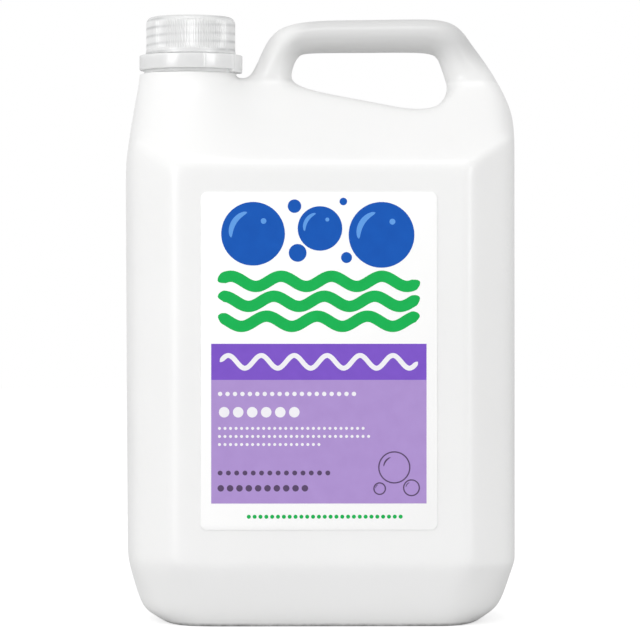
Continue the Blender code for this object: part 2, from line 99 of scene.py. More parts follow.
# Shoulder, which rises from the panel's upper crease to the handle and the neck
SHOULDER_SLOPE = tan(radians(38))
SIDE_HEAD_LEFT = 0.2150  # where the two side walls start to round over
SIDE_HEAD_RIGHT = 0.2300
LEFT_FLANK = (-0.0936, 0.2390)  # x, z of the parting line halfway up the shoulder
LEFT_FLANK_FRONT = (-0.0884, -0.0340, 0.2470)
RIGHT_FLANK = (0.0977, 0.2446)
BOSS_RADII = (0.0250, 0.0254, 0.0258, 0.0258)  # the mound that carries the neck, from its left side
BOSS_HEIGHTS = (0.2605, 0.2600, 0.2590, 0.2598)
COLLAR_RADII = (0.0246, 0.0247, 0.0244, 0.0232, 0.0216)
COLLAR_HEIGHTS = (0.2654, 0.2654, 0.2653, 0.2650, 0.2646)
COLLAR_HEIGHT = 0.2653  # the neck rises from here

# Handle: sections from the root beside the neck to the root at the far end, each
# (centre x, centre z, angle of the outward normal in degrees, half width)
HANDLE_SECTIONS = (
    (-0.0237, 0.2650, 182, 0.0094),
    (-0.0211, 0.2717, 160, 0.0082),
    (-0.0169, 0.2811, 133, 0.0086),
    (-0.0060, 0.2837, 97, 0.0079),
    (0.0200, 0.2837, 90, 0.0079),
    (0.0460, 0.2842, 89, 0.0080),
    (0.0616, 0.2837, 62, 0.0094),
    (0.0662, 0.2749, 36, 0.0090),
    (0.0708, 0.2671, 28, 0.0104),
)
HANDLE_HALF_DEPTH = 0.0125

# Where the handle's posts stand on the shoulder: x, z on its front face and at the parting line
LEFT_ROOT = ((-0.0335, 0.2606), (-0.0165, 0.2606))
RIGHT_ROOT = ((0.0650, 0.2596), (0.0860, 0.2606))
LEFT_FOOT = ((-0.0380, 0.2642), (-0.0125, 0.2605))
RIGHT_FOOT = ((0.0616, 0.2564), (0.0890, 0.2588))
FINGER_FLOOR = ((0.000, 0.2552), (0.023, 0.2512), (0.045, 0.2460), (0.0590, 0.2484))
FLOOR_CROWN = 0.0010  # the floor of the finger hole is higher at the parting line

# A ring of six control points draws an ellipse five sixths of its size
HEXAGON = 6 / 5
# A ring of eight control points draws a circle this much smaller
OCTAGON = 6 / (4 + 2 * cos(pi / 4))

# How firmly the smooth form keeps an edge of its cage
PANEL_EDGE = 0.40
COLLAR_EDGE = 0.62
ROOT_EDGE = 0.32
BEVEL_EDGE = 0.28
FIRM = 0.5
MEDIUM = 0.4
SOFT = 0.3

# How often the cage is smoothed, outside and for the cavity, and how near points of its two halves
# are joined
FORM_LEVELS = 4
CAVITY_LEVELS = 2
JOIN_REACH = 0.00001

# Neck and threads. A section is (outwards, up) from the wall that carries the thread
NECK_X = (cap_low.x + cap_high.x) / 2
NECK_RADIUS = 0.0180
NECK_FLARE = 0.0010
NECK_SINK = 0.0040  # the turned neck runs this far down into the collar
LEDGE_RADIUS = 0.0222  # the ledge that the ring's lip stands over
LEDGE_HEIGHT = 0.26555
BORE_RADIUS = 0.0155
BORE_DEPTH = 0.035
BORE_LIP = 0.0008  # how far the bore flares at the rim
RIM_HEIGHT = wad_low.z - GAP
BEAD_RADIUS = 0.0204  # the bead holds the tamper ring down
BEAD_HEIGHT = 0.2716
BEAD_THICKNESS = 0.0008
BEAD_SLOPE = 0.0026
PITCH = 0.0040
THREAD_FOOT = 0.2775
THREAD_TURNS = 2.5
THREAD_STEPS = 96  # points in a turn
THREAD_FADE = 0.12  # of a turn, in which the ridge rises at each end
THREAD_STUB = 0.05  # of the ridge's rise, left at its very end
THREAD_START = 0.0013  # turns from +X
THREAD_SECTION = (
    (-0.0006, -0.0012),
    (0.0010, -0.0006),
    (0.0013, -0.0003),
    (0.0013, 0.0003),
    (0.0010, 0.0006),
    (-0.0006, 0.0012),
)
TURN_STEPS = 192  # facets round the neck

# Screw cap
CAP_FOOT = cap_low.z - 0.0009  # the solid's skirt ends a little higher
CAP_HEAD = cap_high.z
CAP_SKIRT_RADIUS = (cap_high.x - cap_low.x) / 2
CAP_RADIUS = 0.0214  # of the shell under the flutes
CAP_BORE_RADIUS = 0.0202
CAP_EDGE = 0.0034  # radius of the top edge
CAP_EDGE_ARC = (80, 10, 8)  # from and to, in degrees, and in steps
CAP_RIM = 0.0048  # breadth of the rim round the dished top
CAP_DISH = 0.0004
CAP_ROUND = 0.0006
CAP_SHARP_ANGLE = 28
SKIRT_ROUND = 0.0003
SKIRT_DROP = 0.0003  # from the foot of the flutes to where the skirt starts to widen
FLUTES = 108
FLUTE_STEPS = 6  # facets in a flute
FLUTE_ROWS = 4
FLUTE_DEPTH = 0.0003
FLUTE_RADIUS = 0.0217
FLUTE_FOOT = 0.2768
FLUTE_HEAD = 0.2916
FLUTE_WALL_HEAD = 0.2894  # the wall is straight up to here, and the flutes run on into the edge
FLUTE_RUN_OUT = 0.0005  # heights in which a flute fades out at its foot and at its head
FLUTE_FADE = 0.0016
FLUTE_REACH = 0.0008  # how far inside the shell's radius the flutes still cut
CAP_THREAD_TURNS = 2.0
CAP_THREAD_START = 0.45  # turns from +X
MATTE_RISE = 0.001  # the top of the cap is what lies this far above the wad

# Tamper ring: a band with a narrower lip under it and a fin folded up under the neck's bead
RING_RADIUS = 0.0250
RING_WALL = 0.0011
RING_EDGE = 0.0008
RING_ROUND = 0.0006
RING_FOOT = ring_low.z - 0.0004  # the solid's lip ends a little higher
RING_STEP = 0.2671  # height of the step between the lip and the band
RING_HEAD = 0.2743
RING_LIP_RADIUS = 0.0227
RING_HOLE = 0.0206  # radius of the hole in its flat top
RING_STEPS = 360  # facets round the ring
FIN_RADIUS = 0.0192
FIN_HEAD = 0.2710

# The bridges that tie the ring to the cap until it is first turned
BRIDGES = 18
BRIDGE_RADII = (0.0208, 0.0218)
BRIDGE_WIDTH = radians(10.2)
BRIDGE_TURN = radians(-11.27)  # the first bridge, from the front
BRIDGE_GAP = 0.0001  # up to the cap
BRIDGE_STEPS = 4
BRIDGE_EDGE = 0.0001

# The tear tab, which thickens into a pull block. Each rib is its turn from the front and half of
# its breadth
TAB_FOOT = 0.2659
TAB_START = radians(16.0)
TAB_END = radians(104.4)
TAB_RISE = 0.0002  # how far the tab stands out of the band
TAB_RIBS = ((radians(16.6), radians(1.7)), (radians(55.5), radians(2.6)))
RIB_RISE = 0.0005
PULL_RADIUS = 0.0226
PULL_STEPS = 40
PULL_EDGE = 0.0003
BLOCK_ANGLE = 0.5  # radians, from which a swept block's edge is bevelled

# Label film, and the plates of ink on it. Its print is measured in millimetres, from the middle of
# the label and from the floor
LABEL_X = (label_low.x + label_high.x) / 2
LABEL_CORNER = 0.0030
LABEL_EDGE = 0.00012
LABEL_CORNER_STEPS = 10
FILM_SHARP_ANGLE = 50
FILM_LIFT = 0.00002
FILM_FRONT = label_low.y + 0.00018
INK_THICKNESS = 0.00003
INK_SHARP_ANGLE = 30
MILLIMETRES = 1000  # in a metre
FIELD_HALF = 50.7
FIELD_FOOT = 59.0
BAND_FOOT = 117.2
BAND_HEAD = 134.2

# Bubbles and drops as (x, z, radius), and where a bubble's glint and its spot of light lie, in
# shares of its radius
BUBBLES = ((-31.0, 186.0, 15.0), (0.5, 188.5, 10.5), (29.5, 185.5, 15.5))
DROPS = ((-11.5, 199.0, 3.2), (-10.0, 177.0, 4.2), (13.0, 174.8, 2.6), (11.5, 201.2, 1.8))
BUBBLE_GLINT = (0.70, 0.17)
BUBBLE_GLINT_ARC = (105, 190)
BUBBLE_SPOT = (0.33, 0.40, 0.09)
RINGS = ((35.5, 76.0, 7.6), (43.6, 66.4, 4.0), (28.6, 66.0, 3.0))
RING_LINE = 0.62
RING_GLINT = (0.66, 0.10)
RING_GLINT_ARC = (110, 175)
GLINT_TIP = 0.01  # half the breadth of a glint at its two ends
GLINT_STEPS = 20
HOOP_STEPS = 48
DISC_STEPS = 12  # of a disc without radius, and how many more for each millimetre of it
DISC_STEPS_MORE = 3

# Waves, each (half length, rise, length of one wave, breadth), and the heights and phases of the
# green ones
GREEN_WAVE = (47.5, 2.4, 23.75, 5.4)
GREEN_WAVES = ((163.6, 0.0), (154.2, 0.9), (144.8, 1.8))
WHITE_WAVE = (46.5, 3.0, 15.5, 2.3)
WAVE_TIP = 0.05  # keeps the two ends of a wave from closing to a point
WAVE_STEPS = 2  # in a millimetre

# Rows of dots, each (x of the first, z, pitch, count, radius, ink)
DOT_ROWS = (
    (-46.5, 110.6, 3.5, 19, 1.05, "white"),
    (-44.6, 102.0, 6.6, 6, 2.5, "white"),
    (-46.8, 94.4, 2.6, 27, 0.72, "white"),
    (-46.8, 90.6, 2.6, 28, 0.72, "white"),
    (-46.8, 86.8, 2.6, 19, 0.72, "white"),
    (-46.5, 73.4, 3.9, 14, 1.15, "slate"),
    (-46.2, 66.2, 4.4, 10, 1.55, "slate"),
    (-33.0, 52.8, 2.75, 27, 0.95, "green"),
)

# Inks, each in two close tones
INKS = {
    "white": ((0.86, 0.85, 0.90), (0.90, 0.89, 0.93)),
    "violet": ((0.200, 0.088, 0.560), (0.215, 0.096, 0.590)),
    "lilac": ((0.415, 0.280, 0.620), (0.435, 0.298, 0.645)),
    "blue": ((0.004, 0.090, 0.450), (0.005, 0.100, 0.480)),
    "sky": ((0.110, 0.330, 0.780), (0.125, 0.350, 0.800)),
    "green": ((0.005, 0.430, 0.080), (0.006, 0.460, 0.090)),
    "slate": ((0.095, 0.060, 0.135), (0.110, 0.070, 0.150)),
}

# Surfaces: the part of its range that a noise mostly keeps to, and how much deeper the broad relief
# is than the grain
NOISE_SPAN = (0.3, 0.7)
BROAD_RELIEF = 4.0
EVEN_RADIUS = (1.0, 1.0, 1.0)  # light goes as far under the surface in every colour

# Painted shade that greys the handle, with painted highlights where it stays paler at the crown and
# along the left leg's outer edge. A ramp is the span it runs over and its values at the two ends: in
# x beside the neck, in z at once above the shoulder, slowly on the way up and back at the crown, and
# across the left leg, which leans and is paler along its outer edge
HANDLE_SHADE_GREY = (0.45, 0.45, 0.45)
HANDLE_START = ((-0.042, -0.036), 0.0, 1.0)
HANDLE_FOOT = ((0.2600, 0.2626), 0.0, 0.12)
HANDLE_RISE = ((0.2640, 0.2810), 0.0, 0.50)
HANDLE_CROWN_HIGHLIGHT = ((0.2790, 0.2925), 1.0, 0.5)
LEG_LEAN = (1.0, 0.0, -0.8)
LEG_EDGE_HIGHLIGHT = ((-0.2455, -0.2340), 0.0, 1.0)

# Painted contact shadow round the edge of the sole, broken up by noise, and weaker on the sole itself
FOOT_SHADOW_GREY = (0.12, 0.12, 0.12)
FOOT_SHADOW = ((0.0022, 0.0002), 0.0, 1.0)
SOLE = ((0.0, 0.0002), 0.22, 1.0)
FOOT_SHADOW_GRAIN = 260.0
FOOT_SHADOW_DETAIL = 4.0

# Painted shade: grey bands where the cap's thread would show through its wall, stronger towards the
# cap's sides
BAND_SHADE_GREY = (0.35, 0.36, 0.36)
BAND_STRENGTH = 0.85
BAND_DROP = 0.0026  # of the bands from the thread
BAND_SHARPNESS = 3.0
BAND_SIDES = ((0.007, 0.018), 0.25, 1.0)
BAND_CLOUDS = 110.0
BAND_DETAIL = 2.0

# Closed-cell foam, with cells a fraction of a millimetre wide
FOAM_CELLS = 1800
FOAM_RELIEF = (0.6, 0.0003)

# Floor, world and lamps. A lamp is its name, its turn to the right of the front and its rise, in
# degrees, its power, and whether it shows in reflections
PLAIN_WHITE = (1.0, 1.0, 1.0, 1.0)
FLOOR_HALF = 6.0
FLOOR_TONE = 0.65
FLOOR_GLOW = 0.60  # light of its own that only the camera sees
WORLD_LIGHT = 0.625
CENTRE = (0.0, 0.0, 0.15)  # what the lamps are aimed at
LAMP_REACH = 4.2
LAMP_SIZE = 1.6
LAMPS = (
    ("side", -78, 18, 34.0, False),
    ("key", -42, 11, 41.0, True),
    ("fill", 46, 11, 42.0, True),
    ("top", 0, 75, 24.0, True),
)

# Camera, which stands a little left of the front at half the pack's height
CAMERA_PLACE = (-0.030, -1.80, 0.1454)
CAMERA_AIM = (0.0, 0.0, 0.1454)
CAMERA_LENS = 207.3
CAMERA_SENSOR = 36.0
CAMERA_CLIP = 0.05


def new_object(name, bm, material=None):
    """An object in the scene whose mesh is the given one, which is used up."""
    mesh = bpy.data.meshes.new(name)
    bm.to_mesh(mesh)
    bm.free()
    obj = bpy.data.objects.new(name, mesh)
    bpy.context.scene.collection.objects.link(obj)
    if material:
        mesh.materials.append(material)
    return obj


def boolean(obj, operation, cutter):
    modifier = obj.modifiers.new(f"{operation.lower()} {cutter.name}", "BOOLEAN")
    modifier.operation = operation
    modifier.solver = "EXACT"
    modifier.object = cutter


def keep_finished_form(obj, helpers=(), angle=SHARP_ANGLE):
    """Turns the object's modifiers into its mesh, shades it smooth and removes what shaped it."""
    bpy.context.view_layer.update()
    graph = bpy.context.evaluated_depsgraph_get()
    mesh = bpy.data.meshes.new_from_object(obj.evaluated_get(graph))
    obj.modifiers.clear()
    obj.data = mesh
    mesh.shade_smooth()
    mesh.set_sharp_from_angle(angle=radians(angle))
    for helper in helpers:
        bpy.data.objects.remove(helper, do_unlink=True)


def dressed(obj, body, slot, *nodes):
    """The piece rides on its body and stands for its solids. Its slot is not used."""
    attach(obj, body)
    if nodes:
        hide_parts(*nodes)


def arc(centre, radius, start, end, steps):
    """Points from one angle in degrees to another."""
    angles = [radians(start + (end - start) * i / steps) for i in range(steps + 1)]
    return [(centre[0] + radius * cos(a), centre[1] + radius * sin(a)) for a in angles]


def circle(x, z, radius, steps):
    angles = [tau * i / steps for i in range(steps)]
    return [(x + radius * cos(a), z + radius * sin(a)) for a in angles]


def strip(first, second, closed=False):
    """The corners of the faces between two lines of as many points."""
    count = len(first)
    ends = [(i, (i + 1) % count) for i in range(count if closed else count - 1)]
    return [(first[i], second[i], second[k], first[k]) for i, k in ends]


def rounded(profile, radius, closed=False, steps=3):
    """The profile with each of its corners rounded by about a radius."""
    count = len(profile)
    points = []
    for i, here in enumerate(profile):
        if not closed and i in (0, count - 1):
            points.append(here)
            continue
        before, after = profile[i - 1], profile[(i + 1) % count]
        ways = []
        for other in (before, after):
            length = hypot(other[0] - here[0], other[1] - here[1])
            share = min(radius, length * ROUND_SHARE) / length
            ways.append(((other[0] - here[0]) * share, (other[1] - here[1]) * share))
        for k in range(steps + 1):
            t = k / steps
            point = (here[n] + ways[0][n] * (1 - t) ** 2 + ways[1][n] * t**2 for n in (0, 1))
            points.append(tuple(point))
    return points


def around(radius, turn, height):
    """A point about the neck's axis, at a turn in radians counted from the front to the right."""
    return Vector((NECK_X + radius * sin(turn), -radius * cos(turn), height))


def lathe(profile, steps=TURN_STEPS, shape=None):
    """A closed surface of revolution about the neck's axis, from points of (radius, height).

    A profile that doesn't start on the axis closes on itself. shape gives a radius its true
    value at a height and a turn.
    """
    bm = bmesh.new()
    rings = []
    for radius, height in profile:
        if radius < TINY:
            rings.append([bm.verts.new((NECK_X, 0.0, height))] * steps)
            continue
        ring = []
        for i in range(steps):
            turn = tau * i / steps
            reach = shape(radius, height, turn) if shape else radius
            ring.append(bm.verts.new(around(reach, turn, height)))
        rings.append(ring)
    pairs = list(zip(rings, rings[1:]))
    if profile[0][0] > TINY:
        pairs.append((rings[-1], rings[0]))
    for first, second in pairs:
        for corners in strip(first, second, closed=True):
            bm.faces.new(dict.fromkeys(corners))
    bmesh.ops.recalc_face_normals(bm, faces=bm.faces)
    return bm


def helix_ridge(name, radius, section, foot, turns, first_turn):
    """A thread's ridge of the given section, which sinks into its wall at both ends."""
    bm = bmesh.new()
    last = round(turns * THREAD_STEPS)
    root = section[0][0]
    rings = []
    for i in range(last + 1):
        turn = first_turn + i / THREAD_STEPS
        rise = min(1.0, min(i, last - i) / (THREAD_FADE * THREAD_STEPS))
        rise = THREAD_STUB + (1 - THREAD_STUB) * rise * rise * (3 - 2 * rise)
        ring = []
        for out, up in section:
            reach = radius + root + (out - root) * rise
            place = Vector((cos(tau * turn) * reach, sin(tau * turn) * reach, 0.0))
            ring.append(bm.verts.new(place + Vector((NECK_X, 0.0, foot + PITCH * turn + up))))
        rings.append(ring)
    for first, second in zip(rings, rings[1:]):
        for corners in strip(first, second, closed=True):
            bm.faces.new(corners)
    bm.faces.new(rings[0])
    bm.faces.new(reversed(rings[-1]))
    bmesh.ops.recalc_face_normals(bm, faces=bm.faces)
    return new_object(name, bm)


def swept_block(name, radii, heights, start, span, steps, edge):
    """A block with a square section, swept about the neck's axis from a turn off the front."""
    bm = bmesh.new()
    inner, outer = radii
    low, high = heights
    section = ((inner, low), (outer, low), (outer, high), (inner, high))
    rings = []
    for i in range(steps + 1):
        turn = start + span * i / steps
        rings.append([bm.verts.new(around(r, turn, z)) for r, z in section])
    for first, second in zip(rings, rings[1:]):
        for corners in strip(first, second, closed=True):
            bm.faces.new(corners)
    bm.faces.new(rings[0])
    bm.faces.new(rings[-1])
    bmesh.ops.recalc_face_normals(bm, faces=bm.faces)
    edges = [e for e in bm.edges if e.calc_face_angle() > BLOCK_ANGLE]
    bmesh.ops.bevel(bm, geom=edges, offset=edge, segments=2, profile=0.5, affect="EDGES")
    return new_object(name, bm)


def inset(outline, step):
    """The outline, moved inwards."""
    return (outline[0] - step, *((x - step, y - step) for x, y in outline[1:]))


def body_row(end_x, corner, edge, z):
    """One level of the body, from the left parting line over the front to the right one."""
    # The smooth form pulls back from its cage, so this point stands out past the parting line
    end_control = (6 * end_x - 2 * corner[0]) / 4
    left = [(-end_control, 0.0), (-corner[0], -corner[1]), (-edge[0], -edge[1])]
    middle = [(x * edge[0] / PANEL_HALF, -edge[1]) for x in PANEL_COLUMNS]
    right = [(-x, y) for x, y in reversed(left)]
    return [Vector((x, y, z)) for x, y in left + middle + right]


def body_rows():
    """The levels of the body from the recess in the base up to the panel's upper crease."""
    levels = (
        (inset(RIM_OUTLINE, RIM_INSET + RECESS_INSET), RECESS_DEPTH),
        (inset(RIM_OUTLINE, RIM_INSET), 0.0),
        (RIM_OUTLINE, 0.0),
        (BEVEL_OUTLINE, BEVEL_FOOT),
        (BODY_OUTLINE, PANEL_FOOT),
        (BODY_OUTLINE, STRAIGHT_FOOT),
        (BODY_OUTLINE, STRAIGHT_HEAD),
        (BODY_OUTLINE, PANEL_HEAD),
    )
    rows = [body_row(*outline, z) for outline, z in levels]
    for point in sum(rows, []):
        below = max(0.0, 1 - point.z / STRAIGHT_HEAD)
        beyond = max(0.0, abs(point.x) - PANEL_HALF) / (HALF_WIDTH - PANEL_HALF)
        point.x += below * beyond * (LEAN_LEFT if point.x < 0 else -LEAN_RIGHT)
    bevel, head = rows[3], rows[-1]
    bevel[0].z = BEVEL_FOOT_LEFT
    bevel[-1].z = BEVEL_FOOT_RIGHT
    for index in (1, -2):
        head[index].z = PANEL_HEAD + (HALF_DEPTH - CORNER_Y) * SHOULDER_SLOPE
    head[0].z = SIDE_HEAD_LEFT
    head[-1].z = SIDE_HEAD_RIGHT
    return rows


def on_shoulder(x, z):
    return Vector((x, -HALF_DEPTH + (z - PANEL_HEAD) / SHOULDER_SLOPE, z))


def on_parting(x, z):
    return Vector((x, 0.0, z))


def neck_ring(radii, heights):
    """Control points round the front of the neck, an eighth of a turn apart, from the left."""
    points = []
    for i, (radius, height) in enumerate(zip(radii, heights)):
        reach = radius * OCTAGON
        turn = pi + pi * i / 4
        points.append(Vector((NECK_X + reach * cos(turn), reach * sin(turn), height)))
    return points


def handle_lines():
    """The four lines of control points along the handle: outer edge, two on the front, inner edge."""
    outer, front, lower, inner = [], [], [], []
    for x, z, angle, half in HANDLE_SECTIONS:
        centre = on_parting(x, z)
        normal = Vector((cos(radians(angle)), 0.0, sin(radians(angle))))
        depth = Vector((0.0, -HANDLE_HALF_DEPTH * HEXAGON * cos(pi / 6), 0.0))
        outer.append(centre + normal * half * HEXAGON)
        front.append(centre + normal * half * HEXAGON / 2 + depth)
        lower.append(centre - normal * half * HEXAGON / 2 + depth)
        inner.append(centre - normal * half * HEXAGON)
    return outer, front, lower, inner


def bridge(bm, lower, upper):
    """Faces between two lines of points."""
    for i in range(len(lower) - 1):
        bm.faces.new((lower[i], lower[i + 1], upper[i + 1], upper[i]))


def crease(bm, line, weight):
    """Makes the smooth form keep a line of edges."""
    layer = bm.edges.layers.float["crease_edge"]
    for pair in zip(line, line[1:]):
        bm.edges.get(pair)[layer] = weight


def bottle_cage():
    """The front half of the bottle as a coarse cage, open along the parting plane y = 0."""
    bm = bmesh.new()
    bm.edges.layers.float.new("crease_edge")

    def add(points):
        return [bm.verts.new(p) for p in points]

    rows = [add(row) for row in body_rows()]
    recess, standing, rim, bevel, foot, straight_foot, straight_head, head = rows
    outer, front, lower, inner = (add(line) for line in handle_lines())
    left_root = add([on_shoulder(*point) for point in LEFT_ROOT])
    right_root = add([on_shoulder(*point) for point in RIGHT_ROOT])
    left_foot = add([on_parting(*point) for point in LEFT_FOOT])
    right_foot = add([on_parting(*point) for point in RIGHT_FOOT])
    floor_edge = add([on_shoulder(*point) for point in FINGER_FLOOR])
    floor_middle = add([on_parting(x, z + FLOOR_CROWN) for x, z in FINGER_FLOOR])
    flank = add(neck_ring(BOSS_RADII, BOSS_HEIGHTS))
    collar = add(neck_ring(COLLAR_RADII, COLLAR_HEIGHTS))

    # Body and shoulder, up to the boss, the roots of the handle and the finger hole's floor
    shoulder_top = flank + left_root + floor_edge + right_root + right_foot[1:]
    halfway = add([(low.co + high.co) / 2 for low, high in zip(head, shoulder_top)])
    halfway[0].co = on_parting(*LEFT_FLANK)
    halfway[1].co = Vector(LEFT_FLANK_FRONT)
    halfway[-1].co = on_parting(*RIGHT_FLANK)
    rows += [halfway, shoulder_top]
    for low, high in zip(rows, rows[1:]):
        bridge(bm, low, high)
    bm.faces.new(reversed(recess))

    # Boss and collar, closed on top until the neck is joined on
    bridge(bm, flank + left_foot[:1], collar)
    bm.faces.new(collar)

    # Handle, with the dip between it and the boss, and the floor of the finger hole
    outer_line = left_foot[:1] + outer + right_foot[1:]
    front_line = left_root[:1] + front + right_root[1:]
    lower_line = left_root[1:] + lower + right_root[:1]
    inner_line = left_foot[1:] + inner + right_foot[:1]
    floor_line = left_root[1:] + floor_edge + right_root[:1]
    bm.faces.new((flank[3], front_line[0], outer_line[0]))
    bridge(bm, inner_line, lower_line)
    bridge(bm, lower_line, front_line)
    bridge(bm, front_line, outer_line)
    bridge(bm, floor_line, left_foot[1:] + floor_middle + right_foot[:1])

    for line in (recess, standing, rim):
        crease(bm, line, FIRM)
    for line in (bevel[:3], bevel[10:]):
        crease(bm, line, BEVEL_EDGE)
    for line in (foot, head):
        crease(bm, line[:3], SOFT)
        crease(bm, line[2:11], PANEL_EDGE)
        crease(bm, line[10:], FIRM)
    for index, weight in ((1, SOFT), (2, PANEL_EDGE), (10, PANEL_EDGE), (11, MEDIUM)):
        crease(bm, [foot[index], straight_foot[index], straight_head[index], head[index]], weight)
    crease(bm, [head[11], halfway[11], shoulder_top[11]], SOFT)
    crease(bm, collar, COLLAR_EDGE)
    crease(bm, left_root, ROOT_EDGE)
    crease(bm, right_root, ROOT_EDGE)
    crease(bm, floor_line, MEDIUM)
    return bm


def smooth_form(obj, levels):
    mirror = obj.modifiers.new("back half", "MIRROR")
    mirror.use_axis = (False, True, False)
    mirror.use_clip = True
    mirror.merge_threshold = JOIN_REACH
    surface = obj.modifiers.new("smooth form", "SUBSURF")
    surface.levels = levels
    surface.render_levels = levels


def raise_seam(obj):
    """Cuts a narrow strip along the parting plane and lifts its middle as the mould's flash line."""
    bm = bmesh.new()
    bm.from_mesh(obj.data)
    for side in (-SEAM_HALF, SEAM_HALF):
        everything = bm.verts[:] + bm.edges[:] + bm.faces[:]
        bmesh.ops.bisect_plane(bm, geom=everything, plane_co=(0, side, 0), plane_no=(0, 1, 0))
    bm.normal_update()
    for vert in bm.verts:
        if abs(vert.co.y) < TINY and vert.normal.z > SEAM_END:
            vert.co += vert.normal * SEAM_RISE
    bm.to_mesh(obj.data)
    bm.free()


def neck_finish():
    """The neck with the bead over the tamper ring and the ledge under it."""
    inner = BORE_RADIUS - NECK_FLARE / 2
    root = COLLAR_HEIGHT - NECK_SINK
    profile = [
        (inner, RIM_HEIGHT),
        (NECK_RADIUS, RIM_HEIGHT),
        (NECK_RADIUS, BEAD_HEIGHT + BEAD_SLOPE),
        (BEAD_RADIUS, BEAD_HEIGHT + BEAD_THICKNESS),
        (BEAD_RADIUS, BEAD_HEIGHT),
        (NECK_RADIUS, BEAD_HEIGHT - FINE_EDGE),
        (NECK_RADIUS, LEDGE_HEIGHT + NECK_FLARE),
        (NECK_RADIUS + NECK_FLARE, LEDGE_HEIGHT),
        (LEDGE_RADIUS, LEDGE_HEIGHT),
        (LEDGE_RADIUS, root),
        (inner, root),
    ]
    return new_object("neck_finish", lathe(rounded(profile, FINE_EDGE, closed=True)))


def pinch_seam():
    seam = bmesh.new()
    bmesh.ops.create_cube(seam, size=1.0)
    bmesh.ops.scale(seam, vec=(PINCH_LENGTH, PINCH_WIDTH, PINCH_DEPTH + WALL), verts=seam.verts)
    bmesh.ops.bevel(
        seam, geom=seam.edges[:], offset=FINE_EDGE, segments=3, profile=0.5, affect="EDGES"
    )
    piece = new_object("pinch_seam", seam)
    piece.location.z = RECESS_DEPTH + (WALL - PINCH_DEPTH) / 2
    return piece


def cavity_form(cage):
    cavity = new_object("cavity", cage)
    smooth_form(cavity, CAVITY_LEVELS)
    shrink = cavity.modifiers.new("wall", "DISPLACE")
    shrink.mid_level = 0.0
    shrink.strength = -WALL
    return cavity


def bore_form():
    foot = RIM_HEIGHT - BORE_DEPTH
    above, below = RIM_HEIGHT + BORE_LIP, RIM_HEIGHT - BORE_LIP
    profile = [(0.0, above), (BORE_RADIUS + 2 * BORE_LIP, above), (BORE_RADIUS, below)]
    profile += [(BORE_RADIUS, foot), (0.0, foot)]
    return new_object("bore", lathe(profile))


def make_bottle(material):
    """The blown shell, with the turned neck joined on and its inside cut away."""
    cage = bottle_cage()
    inner_cage = cage.copy()
    bottle = new_object("bottle_shell", cage, material)
    smooth_form(bottle, FORM_LEVELS)
    keep_finished_form(bottle)
    raise_seam(bottle)
    thread = helix_ridge(
        "neck_thread", NECK_RADIUS, THREAD_SECTION, THREAD_FOOT, THREAD_TURNS, THREAD_START
    )
    joined = (neck_finish(), thread, pinch_seam())
    cut = (cavity_form(inner_cage), bore_form())
    for piece in joined:
        boolean(bottle, "UNION", piece)
    for piece in cut:
        boolean(bottle, "DIFFERENCE", piece)
    keep_finished_form(bottle, joined + cut)
    dressed(bottle, "bottle", "bottle_plastic", "bottle")


def fluted(radius, height, turn):
    """Grooves the cap's outer wall, fading out at both ends of the grooves."""
    if radius < CAP_RADIUS - FLUTE_REACH:
        return radius
    into = min((height - FLUTE_FOOT) / FLUTE_RUN_OUT, (FLUTE_HEAD - height) / FLUTE_FADE, 1.0)
    if into <= 0:
        return radius
    return radius - FLUTE_DEPTH * into * (0.5 - 0.5 * cos(FLUTES * turn))


def make_cap(material, matte):
    """The fluted shell with its thread inside. Its top is the matte material."""
    dish = CAP_RADIUS - CAP_RIM
    top = [(0.0, CAP_HEAD - CAP_DISH), (dish - CAP_DISH, CAP_HEAD - CAP_DISH), (dish, CAP_HEAD)]
    outline = rounded(top + [(CAP_RADIUS - CAP_EDGE, CAP_HEAD)], CAP_ROUND)
    outline += arc((FLUTE_RADIUS - CAP_EDGE, CAP_HEAD - CAP_EDGE), CAP_EDGE, *CAP_EDGE_ARC)
    wall = FLUTE_WALL_HEAD - FLUTE_FOOT - FLUTE_RUN_OUT
    heights = [FLUTE_WALL_HEAD - wall * i / FLUTE_ROWS for i in range(FLUTE_ROWS + 1)]
    outline += [(FLUTE_RADIUS, z) for z in heights]
    skirt = [
        (FLUTE_RADIUS, FLUTE_FOOT),
        (FLUTE_RADIUS, FLUTE_FOOT - SKIRT_DROP),
        (CAP_SKIRT_RADIUS, CAP_FOOT + FINE_EDGE),
        (CAP_SKIRT_RADIUS - FINE_EDGE, CAP_FOOT),
        (CAP_BORE_RADIUS + FINE_EDGE, CAP_FOOT),
        (CAP_BORE_RADIUS, CAP_FOOT + FINE_EDGE),
        (CAP_BORE_RADIUS, wad_low.z),
        (wad_high.x - NECK_X + GAP, wad_high.z + GAP),
        (0.0, wad_high.z + GAP),
    ]
    outline += rounded(skirt, SKIRT_ROUND)
    cap = new_object("cap_shell", lathe(outline, FLUTES * FLUTE_STEPS, fluted), material)
    section = [(-out, up) for out, up in THREAD_SECTION]
    foot = THREAD_FOOT - PITCH / 2
    ridge = helix_ridge(
        "cap_thread", CAP_BORE_RADIUS, section, foot, CAP_THREAD_TURNS, CAP_THREAD_START
    )
    boolean(cap, "UNION", ridge)
    keep_finished_form(cap, (ridge,), CAP_SHARP_ANGLE)
    cap.data.materials.append(matte)
    for face in cap.data.polygons:
        x, y, z = face.center
        if z > wad_high.z + MATTE_RISE and hypot(x - NECK_X, y) < FLUTE_RADIUS - CAP_EDGE:
            face.material_index = 1
    dressed(cap, "screw_cap", "closure_plastic", "screw_cap")


def make_wad(material):
    radius = wad_high.x - NECK_X
    low, high = wad_low.z, wad_high.z
    profile = rounded([(0.0, high), (radius, high), (radius, low), (0.0, low)], FINE_EDGE)
    wad = new_object("sealing_wad", lathe(profile), material)
    keep_finished_form(wad)
    dressed(wad, "cap_liner", "wad_foam", "cap_liner")


